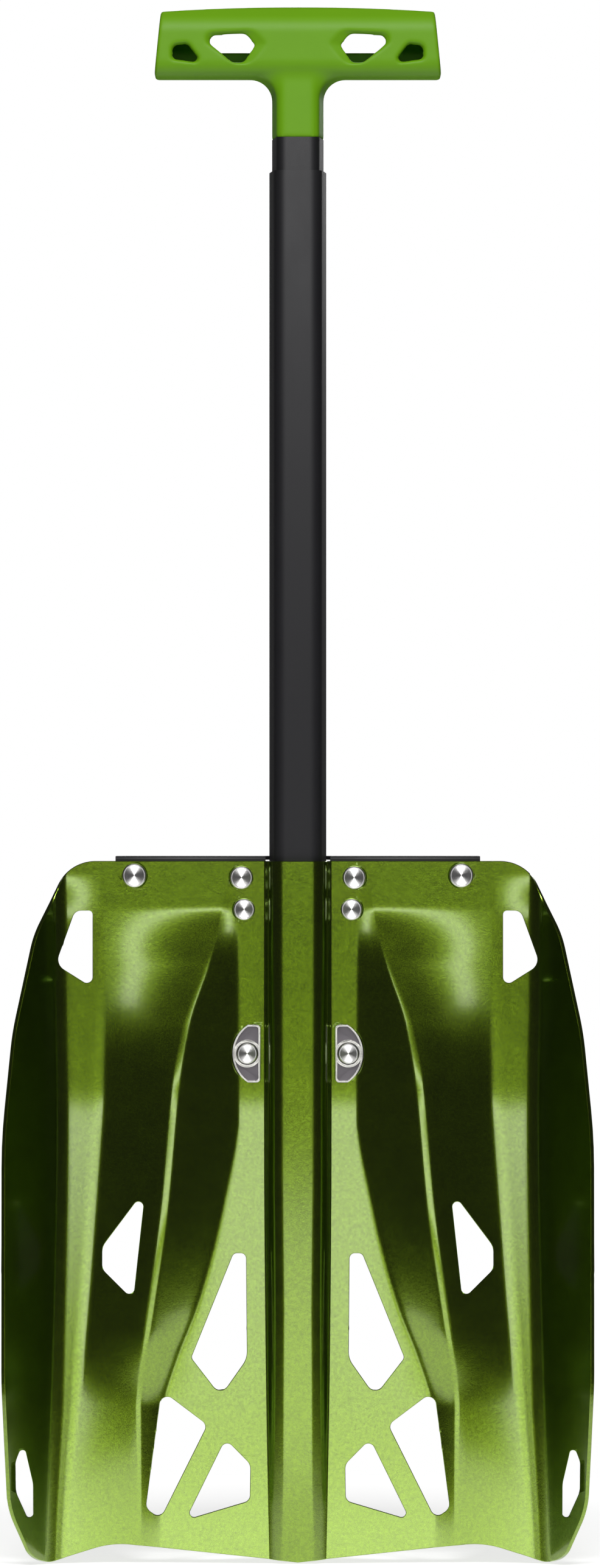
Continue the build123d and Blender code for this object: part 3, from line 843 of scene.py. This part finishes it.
def make_blade():
    """The pressed sheet: a formed grid, trimmed to its outline, given its thickness and pierced."""
    low, high = -SECTION_SPARE, BLADE_HEIGHT + SECTION_SPARE
    rows = round((high - low) / ROW_HEIGHT)
    heights = [low + (high - low) * row / rows for row in range(rows + 1)]
    points = []
    for z in heights:
        half = section_points(z)
        left = [(-x, f) for x, f in half[:0:-1]]
        points.extend((x * MM, -f * MM, z * MM) for x, f in [*left, *half])
    columns = len(points) // len(heights) - 1
    deselect()
    bpy.ops.mesh.primitive_grid_add(x_subdivisions=columns, y_subdivisions=rows)
    blade = bpy.context.object
    blade.name = "pressed_blade"
    blade.data.vertices.foreach_set("co", np.array(points, np.float32).ravel())
    blade.data.update()
    rim = rounded([(0, BLADE_HEIGHT, 0), *RIM_CORNERS, (0, 0, 0)], False, 2.0)
    outline = rim + mirrored_outline(rim)[1:-1]
    trimmer = prism(outline, *TRIM_REACH, "outline")
    apply_modifier(blade, "BOOLEAN", operation="INTERSECT", solver="EXACT", object=trimmer)
    bpy.data.objects.remove(trimmer)
    apply_modifier(
        blade,
        "SOLIDIFY",
        thickness=SHEET * MM,
        offset=1.0,
        use_even_offset=True,
        use_quality_normals=True,
    )
    pierce(blade)
    edge = bpy.context.scene.shovel_blade.edge_round
    edit(blade, lambda: bpy.ops.mesh.remove_doubles(threshold=edge * 0.5))
    apply_modifier(
        blade,
        "BEVEL",
        width=edge,
        segments=1,
        limit_method="ANGLE",
        angle_limit=math.radians(BLADE_EDGE_ANGLE),
        use_clamp_overlap=False,
    )
    smooth(blade, SHARP_ANGLE)
    finished(blade, "anodised_green", "blade", "blade_pan")


def pierce(blade):
    """Cuts the lightening holes through the blade and the flat seats for its rivets and cups."""
    cutters = []
    for corners in HOLES:
        outline = rounded(corners, True, 6.0)
        if polygon_turn(outline) < 0:
            outline.reverse()
        for side in (outline, mirrored_outline(outline)):
            cutters.append(prism(side, *CUT_REACH))
    for name, x, z, head in RIVET_ROWS:
        for side in (-1, 1):
            if name != "lower_rivets":
                seat = circle_outline(side * x, z, head / 2 + RIVET_PAD_MARGIN)
                cutters.append(prism(seat, -SHEET, CUT_REACH[1]))
    cup = cup_outline(CUP_GAP)
    for side in (cup, mirrored_outline(cup)):
        cutters.append(prism(side, -SHEET, CUT_REACH[1]))
    for cutter in cutters:
        apply_modifier(blade, "BOOLEAN", operation="DIFFERENCE", solver="MANIFOLD", object=cutter)
        bpy.data.objects.remove(cutter)


def polygon_turn(outline):
    """Twice the signed area of an outline."""
    pairs = zip(outline, outline[1:] + outline[:1])
    return sum(a[0] * b[1] - b[0] * a[1] for a, b in pairs)


def spun(profile, x, z, name):
    """A turned piece about the line along Y through (x, z), from a (radius, y) profile in millimetres."""
    deselect()
    bpy.ops.mesh.primitive_circle_add(vertices=3, fill_type="NOTHING")
    piece = bpy.context.object
    piece.name = name
    points = [((x + radius) * MM, y * MM, z * MM) for radius, y in profile]
    piece.data.clear_geometry()
    piece.data.from_pydata(points, [(i, i + 1) for i in range(len(points) - 1)], [])
    centre = (x * MM, 0, z * MM)
    edit(
        piece,
        lambda: bpy.ops.mesh.spin(steps=SPIN_STEPS, angle=2 * math.pi, center=centre, axis=(0, 1, 0)),
        lambda: bpy.ops.mesh.remove_doubles(threshold=1e-6),
        lambda: bpy.ops.mesh.select_all(action="SELECT"),
        lambda: bpy.ops.mesh.normals_make_consistent(inside=False),
    )
    return piece


def moved(points, radius, y):
    """Profile points taken from radius and y instead of from zero."""
    return [(radius + out, y + back) for out, back in points]


def rivet_profile(head, seat, tail_seat):
    """Half a rivet from its head's centre to its tail's centre, as (radius, y)."""
    pitch = bpy.context.scene.shovel_blade.groove_pitch / MM
    radius = head / 2
    top = seat - HEAD_HEIGHT
    face = radius - FACE_INSET
    profile = moved(PIP_POINTS, 0.0, top)
    grooves = round((face - CENTRE_PIP) / pitch)
    for groove in range(1, 2 * grooves):
        reach = CENTRE_PIP + (face - CENTRE_PIP) * groove / (2 * grooves)
        cone = FACE_CONE * reach / face
        profile.append((reach, top + cone + (GROOVE_DEPTH if groove % 2 else 0.0)))
    profile += moved(FACE_POINTS, face, top)
    profile += moved(EDGE_POINTS, radius, top)
    profile += moved(UNDER_POINTS, radius, seat)
    profile.append((SHANK_RADIUS, seat))
    return profile + moved(TAIL_POINTS, 0.0, tail_seat)


def make_rivets():
    """The rivets' turned heads and formed tails, one pair to each CAD node."""
    for name, x, z, head in RIVET_ROWS:
        low, high = (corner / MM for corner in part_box(name))
        profile = rivet_profile(head, low.y + HEAD_HEIGHT, high.y - TAIL_HEIGHT)
        pair = [spun(profile, side * x, z, name) for side in (-1, 1)]
        row = joined(pair, "turned_" + name)
        smooth(row, GROOVE_SHARP_ANGLE)
        finished(row, "bare_rivet", "blade", name)
    low, high = (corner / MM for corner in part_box("grip_rivet"))
    shank = [(GRIP_SHANK_RADIUS, low.y), (0.0, low.y)]
    profile = moved(DOME_POINTS, 0.0, high.y) + shank
    rivet = spun(profile, 0, (low.z + high.z) / 2, "domed_grip_rivet")
    smooth(rivet, DOME_SHARP_ANGLE)
    finished(rivet, "bare_rivet", "upper_shaft", "grip_rivet")


def worked_copy(node, name, edge, slot, body):
    """A copy of a CAD node with its corners rounded by edge, which stands for the node."""
    piece = frame["nodes"][node].copy()
    piece.data = frame["nodes"][node].data.copy()
    piece.parent = None
    piece.name = name
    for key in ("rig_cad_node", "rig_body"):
        if key in piece:
            del piece[key]
    bpy.context.collection.objects.link(piece)
    edit(
        piece,
        lambda: bpy.ops.mesh.customdata_custom_splitnormals_clear(),
        lambda: bpy.ops.mesh.remove_doubles(threshold=2e-6),
        lambda: bpy.ops.mesh.dissolve_limited(angle_limit=math.radians(COPY_FLAT_ANGLE)),
    )
    if edge:
        apply_modifier(
            piece,
            "BEVEL",
            width=edge * MM,
            segments=2,
            limit_method="ANGLE",
            angle_limit=math.radians(COPY_EDGE_ANGLE),
            use_clamp_overlap=True,
        )
    smooth(piece, SHARP_ANGLE)
    return finished(piece, slot, body, node)


def make_cups():
    """The pressed cups under the lower rivets: a raised rim and a round boss with a seat for the head."""
    x, z = CUP_RIVET
    for side in ("right", "left"):
        low, high = (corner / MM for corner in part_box("rivet_cup_" + side))
        front, back = low.y, high.y
        floor = front + CUP_DEPTH
        cup = prism(rounded_cup(0), back, front, "pressed_cup_" + side)
        reach = front - CUTTER_SPARE
        recess = prism(rounded_cup(-CUP_RIM), floor, reach, "recess")
        boss = prism(circle_outline(x, z, CUP_BOSS, 96), floor + 1, reach - CUTTER_SPARE, "boss")
        apply_modifier(recess, "BOOLEAN", operation="DIFFERENCE", solver="MANIFOLD", object=boss)
        seat = prism(circle_outline(x, z, CUP_SEAT, 96), floor, reach, "seat")
        bore = prism(circle_outline(x, z, CUP_BORE, 48), back + 1, reach, "bore")
        for cutter in (recess, seat, bore):
            apply_modifier(cup, "BOOLEAN", operation="DIFFERENCE", solver="MANIFOLD", object=cutter)
        for cutter in (recess, boss, seat, bore):
            bpy.data.objects.remove(cutter)
        if side == "left":
            cup.data.transform(Matrix.Scale(-1, 4, (1, 0, 0)))
            cup.data.flip_normals()
        edit(cup, lambda: bpy.ops.mesh.dissolve_limited(angle_limit=math.radians(CUP_FLAT_ANGLE)))
        apply_modifier(
            cup,
            "BEVEL",
            width=CUP_EDGE * MM,
            segments=3,
            limit_method="ANGLE",
            angle_limit=math.radians(CUP_EDGE_ANGLE),
        )
        smooth(cup, SHARP_ANGLE)
        finished(cup, "bare_cup", "blade", "rivet_cup_" + side)


def make_socket():
    """The bracket and the step plate behind the blade, with their washers."""
    worked_copy("socket_bracket", "folded_bracket", 0.3, "coated_black", "blade")
    worked_copy("step_plate", "folded_step_plate", 0.3, "coated_black", "blade")
    worked_copy("plate_washers", "stamped_plate_washers", 0.12, "bare_washer", "blade")
    worked_copy("bracket_washers", "stamped_bracket_washers", 0.12, "bare_washer", "blade")


def bent_leaf(node, held_by, moved_by):
    """The bodies that a leaf spring bends between, and where: its front leg stays and its back leg moves."""
    low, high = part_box(node)
    span = high.y - low.y
    start = (0, low.y + LEAF_HOLD[0] * span, low.z)
    end = (0, low.y + LEAF_HOLD[1] * span, low.z)
    return held_by, moved_by, start, end


def make_shaft():
    """The two drawn tubes with their plugs, buttons and springs."""
    worked_copy("outer_tube", "drawn_outer_tube", 0.25, "anodised_black", "lower_shaft")
    worked_copy("inner_tube", "drawn_inner_tube", 0.2, "anodised_black", "upper_shaft")
    worked_copy("shaft_end_plug", "moulded_end_plug", 0.3, "black_nylon", "lower_shaft")
    worked_copy("inner_tube_plug", "moulded_inner_plug", 0.3, "black_nylon", "upper_shaft")
    blade_leaf = bent_leaf("blade_lock_spring", "lower_shaft", "blade_button")
    extension_leaf = bent_leaf("extension_lock_spring", "upper_shaft", "extension_button")
    worked_copy("blade_lock_spring", "rolled_blade_spring", 0.1, "spring_steel", blade_leaf)
    worked_copy("extension_lock_spring", "rolled_extension_spring", 0.1, "spring_steel", extension_leaf)
    worked_copy("blade_lock_button", "turned_blade_button", 0.12, "bare_button", "blade_button")
    worked_copy("extension_lock_button", "turned_extension_button", 0.12, "bare_button", "extension_button")


def make_grip():
    """The moulded T-grip: bevelled surrounds are cut round its windows, then its corners are softened."""
    settings = bpy.context.scene.shovel_grip
    grip = worked_copy("t_grip", "moulded_grip", 0, "moulded_green", "upper_shaft")
    cutters = []
    back = GRIP_FRONT + SURROUND_DEPTH
    front = GRIP_FRONT - SURROUND_SPARE
    for corners, (wider, taller, x, rise) in GRIP_WINDOWS:
        placed = [(cx, GRIP_BAR_FOOT + cz, radius) for cx, cz, radius in corners]
        outline = rounded(placed, True, 12.0)
        for side, path in ((1, outline), (-1, mirrored_outline(outline))):
            spread = (wider, taller, side * x, GRIP_BAR_FOOT + rise)
            cutters.append(prism(path, back, front, "surround", spread))
    cutter = joined(cutters, "surrounds")
    apply_modifier(grip, "BOOLEAN", object=cutter, operation="DIFFERENCE", solver="EXACT")
    bpy.data.objects.remove(cutter)
    apply_modifier(grip, "REMESH", mode="VOXEL", voxel_size=settings.voxel, use_smooth_shade=True)
    apply_modifier(grip, "SMOOTH", factor=0.5, iterations=settings.smoothing)
    return grip


def area_light(name, place, target, size, power):
    """A soft rectangular light aimed at target, unseen by the camera."""
    deselect()
    bpy.ops.object.light_add(type="AREA", location=place)
    light = bpy.context.object
    light.name = name
    light.rotation_euler = (Vector(target) - Vector(place)).to_track_quat("-Z", "Y").to_euler()
    light.data.shape = "RECTANGLE"
    light.data.size, light.data.size_y = size
    light.data.energy = power
    light.visible_camera = False


def set_world(studio, seen):
    """A dim studio all round, white where the camera sees past the shovel."""
    world = bpy.data.worlds.new("studio")
    world.use_nodes = True
    tree = world.node_tree
    tree.nodes.clear()
    output = tree.nodes.new("ShaderNodeOutputWorld")
    mix = tree.nodes.new("ShaderNodeMixShader")
    path = tree.nodes.new("ShaderNodeLightPath")
    tree.links.new(path.outputs["Is Camera Ray"], mix.inputs[0])
    for socket, strength in ((1, studio), (2, seen)):
        background = tree.nodes.new("ShaderNodeBackground")
        background.inputs["Color"].default_value = (1, 1, 1, 1)
        background.inputs["Strength"].default_value = strength
        tree.links.new(background.outputs[0], mix.inputs[socket])
    tree.links.new(mix.outputs[0], output.inputs["Surface"])
    bpy.context.scene.world = world


def make_studio():
    """The camera, the lights and the pale floor."""
    settings = bpy.context.scene.shovel_studio
    scene = bpy.context.scene
    low, high = cad_bounds
    middle = Vector((*STAGE_MIDDLE, (low[2] + high[2]) / 2))
    deselect()
    place = middle - Vector((0, settings.distance, 0))
    bpy.ops.object.camera_add(location=place, rotation=(math.pi / 2, 0, 0))
    camera = bpy.context.object
    camera.name = "camera"
    camera.data.sensor_width = SENSOR
    camera.data.lens = SENSOR * settings.distance / settings.view_height
    scene.camera = camera
    scene.view_settings.view_transform = "Standard"
    deselect()
    bpy.ops.mesh.primitive_circle_add(
        vertices=96, radius=FLOOR_RADIUS, fill_type="NGON", location=(0, 0, FLOOR_HEIGHT)
    )
    floor = bpy.context.object
    floor.name = "floor"
    floor.data.materials.append(pale_floor())
    for name, place, aim, size, power in LIGHTS:
        if isinstance(power, str):
            power = getattr(settings, power)
        area_light(name, place, aim or middle, size, power)
    set_world(STUDIO_STRENGTH, SEEN_STRENGTH)


class SHOVEL_OT_blade(bpy.types.Operator):
    """Form, trim and pierce the blade's sheet"""

    bl_idname = "shovel.blade"
    bl_label = "Pressed Blade"

    def execute(self, context):
        make_blade()
        return {"FINISHED"}


class SHOVEL_OT_rivets(bpy.types.Operator):
    """Turn the rivets' heads and form their tails"""

    bl_idname = "shovel.rivets"
    bl_label = "Rivets"

    def execute(self, context):
        make_rivets()
        return {"FINISHED"}


class SHOVEL_OT_cups(bpy.types.Operator):
    """Press the cups under the lower rivets"""

    bl_idname = "shovel.cups"
    bl_label = "Rivet Cups"

    def execute(self, context):
        make_cups()
        return {"FINISHED"}


class SHOVEL_OT_socket(bpy.types.Operator):
    """Fold the socket bracket and the step plate"""

    bl_idname = "shovel.socket"
    bl_label = "Socket and Step"

    def execute(self, context):
        make_socket()
        return {"FINISHED"}


class SHOVEL_OT_shaft(bpy.types.Operator):
    """Draw the tubes and fit their plugs, buttons and springs"""

    bl_idname = "shovel.shaft"
    bl_label = "Shaft"

    def execute(self, context):
        make_shaft()
        return {"FINISHED"}


class SHOVEL_OT_grip(bpy.types.Operator):
    """Mould the T-grip"""

    bl_idname = "shovel.grip"
    bl_label = "T-Grip"

    def execute(self, context):
        make_grip()
        return {"FINISHED"}


class SHOVEL_OT_studio(bpy.types.Operator):
    """Set the camera, the lights and the floor"""

    bl_idname = "shovel.studio"
    bl_label = "Studio"

    def execute(self, context):
        make_studio()
        return {"FINISHED"}


class SHOVEL_PT_sidebar(bpy.types.Panel):
    """The shovel's settings and the operators that build it"""

    bl_label = "Avalanche Shovel"
    bl_space_type = "VIEW_3D"
    bl_region_type = "UI"
    bl_category = "Shovel"

    def draw(self, context):
        for group in SETTINGS:
            settings = getattr(context.scene, group)
            for name in settings.bl_rna.properties.keys():
                if name not in ("rna_type", "name"):
                    self.layout.prop(settings, name)
        for operator in OPERATORS:
            self.layout.operator(operator.bl_idname)


SETTINGS = {
    "shovel_blade": ShovelBladeSettings,
    "shovel_grip": ShovelGripSettings,
    "shovel_colours": ShovelColourSettings,
    "shovel_studio": ShovelStudioSettings,
}
OPERATORS = [
    SHOVEL_OT_blade,
    SHOVEL_OT_rivets,
    SHOVEL_OT_cups,
    SHOVEL_OT_socket,
    SHOVEL_OT_shaft,
    SHOVEL_OT_grip,
    SHOVEL_OT_studio,
]


def register():
    """Adds the classes and their settings to Blender."""
    for cls in [*SETTINGS.values(), *OPERATORS, SHOVEL_PT_sidebar]:
        bpy.utils.register_class(cls)
    for group, cls in SETTINGS.items():
        setattr(bpy.types.Scene, group, PointerProperty(type=cls))


def unregister():
    """Takes the classes and their settings out again."""
    for group in SETTINGS:
        delattr(bpy.types.Scene, group)
    for cls in [SHOVEL_PT_sidebar, *reversed(OPERATORS), *SETTINGS.values()]:
        bpy.utils.unregister_class(cls)


def main():
    """Builds the shovel and its stage."""
    register()
    bpy.ops.shovel.blade()
    bpy.ops.shovel.rivets()
    bpy.ops.shovel.cups()
    bpy.ops.shovel.socket()
    bpy.ops.shovel.shaft()
    bpy.ops.shovel.grip()
    bpy.ops.shovel.studio()


if __name__ == "__main__":
    main()
